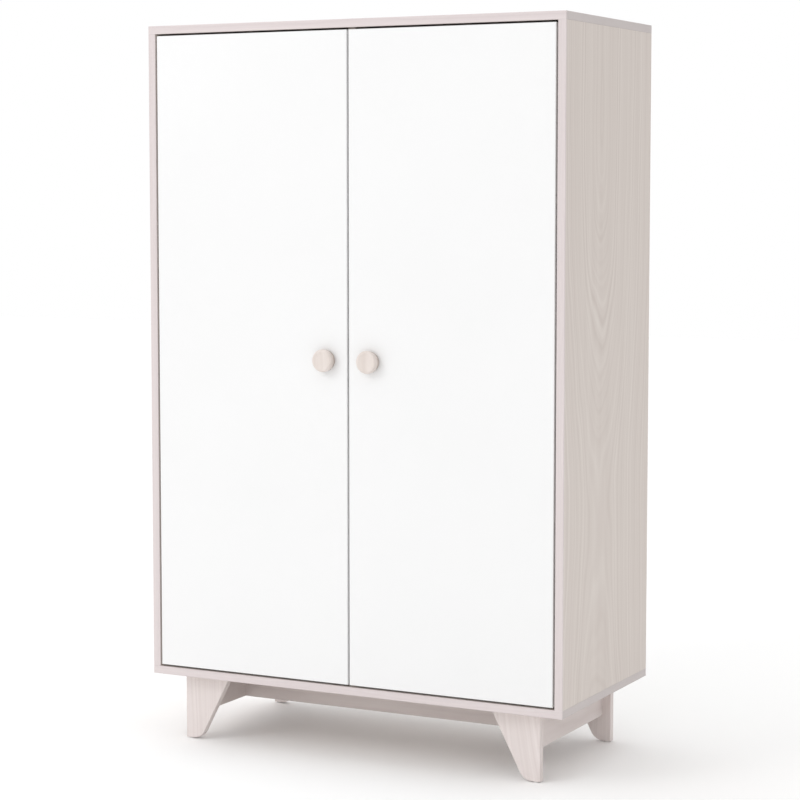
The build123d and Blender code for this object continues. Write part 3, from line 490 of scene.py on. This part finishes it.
def turned(profile, centre, steps):
    """Spin a profile of (radius, distance in front) points about the line from front to back."""
    shape = bmesh.new()
    points = [shape.verts.new((radius, -ahead, 0)) for radius, ahead in profile]
    edges = [shape.edges.new(pair) for pair in zip(points, points[1:])]
    bmesh.ops.spin(shape, geom=points + edges, cent=(0, 0, 0), axis=(0, 1, 0), angle=2 * pi,
                   steps=steps, use_merge=True)
    bmesh.ops.remove_doubles(shape, verts=shape.verts, dist=weld_distance)
    bmesh.ops.recalc_face_normals(shape, faces=shape.faces)
    bmesh.ops.translate(shape, verts=shape.verts, vec=centre)
    return shape


knob_steps = 96             # round the knob
curve_steps = 8             # along each curve of its profile
knob_base = 0.886           # its radius against the door, as a share of the rim's
rim_width = 0.0042
rim_height = 0.0053
dish_slope = 0.0058         # from the rim's crest in to the flat face
dish_depth = 0.0007
curve = [step / curve_steps * pi / 2 for step in range(1, curve_steps + 1)]
for side, body in (("left", "left_door"), ("right", "right_door")):
    low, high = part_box(f"{side}_knob")
    radius = (high.x - low.x) / 2
    reach = high.y - low.y
    base = radius * knob_base
    widest = reach - rim_height
    crest = radius - rim_width
    profile = [(0, 0), (base, 0)]
    profile += [(base + (radius - base) * sin(turn), widest * turn / curve[-1]) for turn in curve]
    profile += [(crest + rim_width * cos(turn), widest + rim_height * sin(turn)) for turn in curve]
    profile += [(crest - dish_slope * turn / curve[-1], reach - dish_depth * sin(turn) ** 2)
                for turn in curve]
    profile += [(0, reach - dish_depth)]
    centre = Vector(((low.x + high.x) / 2, high.y, (low.z + high.z) / 2))
    knob_shape = turned(profile, centre, knob_steps)
    knob = new_piece(f"{side}_turned_knob", knob_shape, knob_ash, body)
    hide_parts(f"{side}_knob")


# ---------------------------------------------------------------- hinges
# Pressed steel cup hinges, nickel plated: bright but softly blurred metal with faint
# rolling marks. The cups are let into the doors and the plates screwed to the sides.
cloud_width = 0.014         # of a cloudy patch in the plating
mark_width = 0.0011         # the real marks are finer still
mark_smooth = 0.07          # how much smoother than the plating's roughness, between marks
mark_rough = 0.09           # and how much rougher along them


def metal(name, bright, dull, roughness, mark_depth):
    """Plated steel: a slightly cloudy colour, with fine marks from rolling and handling."""
    material, tree, shader = new_material(name, Metallic=1.0)
    place = add_node(tree, "ShaderNodeTexCoord").outputs["Object"]
    clouds = add_node(tree, "ShaderNodeTexNoise", {
        "Vector": place, "Scale": 1 / cloud_width, "Detail": 3.0, "Roughness": 0.5})
    colour = add_node(tree, "ShaderNodeMix", {
        "Factor": clouds.outputs["Fac"], 6: linear(bright), 7: linear(dull)}, data_type="RGBA")
    tree.links.new(colour.outputs[2], shader.inputs["Base Color"])
    marks = add_node(tree, "ShaderNodeTexNoise", {
        "Vector": place, "Scale": 1 / mark_width, "Detail": 3.0, "Roughness": 0.6})
    gloss = add_node(tree, "ShaderNodeMapRange", {
        "Value": marks.outputs["Fac"], "To Min": roughness - mark_smooth,
        "To Max": roughness + mark_rough})
    tree.links.new(gloss.outputs[0], shader.inputs["Roughness"])
    emboss(tree, shader, marks.outputs["Fac"], mark_depth)
    return material


nickel = metal("nickel plated steel", "#D2CFC8", "#BFBBB3", roughness=0.27, mark_depth=0.00001)
hinge_names = [
    f"{side}_{level}_hinge_{part}"
    for side in ("left", "right") for level in ("top", "middle", "bottom")
    for part in ("cup", "arm")
]
finish(nickel, *hinge_names, "left_hinge_plates", "right_hinge_plates", "left_hinge_pins",
       "right_hinge_pins")


# ---------------------------------------------------------------- hanging rail
# A chromed steel tube in two sockets, across the left half under the hat shelf. Chrome is
# mirror-bright with only the faintest haze.
chrome = metal("polished chrome", "#DFE1E2", "#D4D7D9", roughness=0.12, mark_depth=0.000002)
finish(chrome, "hanging_rail", "rail_sockets")


# ---------------------------------------------------------------- screws, cams and brackets
# Zinc plated steel: screws, cam locks, cam bolts, shelf pins, nails and wall brackets. The
# plating is greyer and rougher than the hinges'.
zinc = metal("zinc plated steel", "#C3C5C6", "#AFB1B1", roughness=0.38, mark_depth=0.00002)
finish(zinc, "rail_socket_screws", "leg_frame_screws", "left_knob_screw", "right_knob_screw",
       "left_hinge_cup_screws", "right_hinge_cup_screws", "hinge_plate_screws",
       "hinge_arm_screws", "shelf_pins", "cam_locks", "cam_bolts", "back_nails", "wall_brackets",
       "wall_bracket_screws")


# ---------------------------------------------------------------- buffers and glides
# Clear soft buffers where the doors close on the divider, and white plastic glides under the
# feet, both moulded. The buffers let light through, and the glides are scuffed by the floor.
haze_width = 0.002
clear_roughness = 0.18
hazy_roughness = 0.34
buffer, buffer_tree, buffer_shader = new_material(
    "clear soft polyurethane", IOR=1.5, Transmission_Weight=0.7)
buffer_place = add_node(buffer_tree, "ShaderNodeTexCoord").outputs["Object"]
haze = add_node(buffer_tree, "ShaderNodeTexNoise", {
    "Vector": buffer_place, "Scale": 1 / haze_width})
buffer_colour = add_node(buffer_tree, "ShaderNodeMix", {
    "Factor": haze.outputs["Fac"], 6: linear("#F4F5F3"), 7: linear("#E6E8E5")},
    data_type="RGBA")
buffer_tree.links.new(buffer_colour.outputs[2], buffer_shader.inputs["Base Color"])
buffer_haze = add_node(buffer_tree, "ShaderNodeMapRange", {
    "Value": haze.outputs["Fac"], "To Min": clear_roughness, "To Max": hazy_roughness})
buffer_tree.links.new(buffer_haze.outputs[0], buffer_shader.inputs["Roughness"])
finish(buffer, "door_bumpers")

scuff_width = 0.0029
scuff_depth = 0.0001
glide, glide_tree, glide_shader = new_material(
    "moulded white polyethylene", IOR=1.5, Roughness=0.5)
glide_place = add_node(glide_tree, "ShaderNodeTexCoord").outputs["Object"]
scuffs = add_node(glide_tree, "ShaderNodeTexNoise", {
    "Vector": glide_place, "Scale": 1 / scuff_width, "Detail": 4.0, "Roughness": 0.7})
glide_colour = add_node(glide_tree, "ShaderNodeMix", {
    "Factor": scuffs.outputs["Fac"], 6: linear("#DFDDDA"), 7: linear("#CFCCC8")},
    data_type="RGBA")
glide_tree.links.new(glide_colour.outputs[2], glide_shader.inputs["Base Color"])
emboss(glide_tree, glide_shader, scuffs.outputs["Fac"], scuff_depth)
finish(glide, "floor_glides")
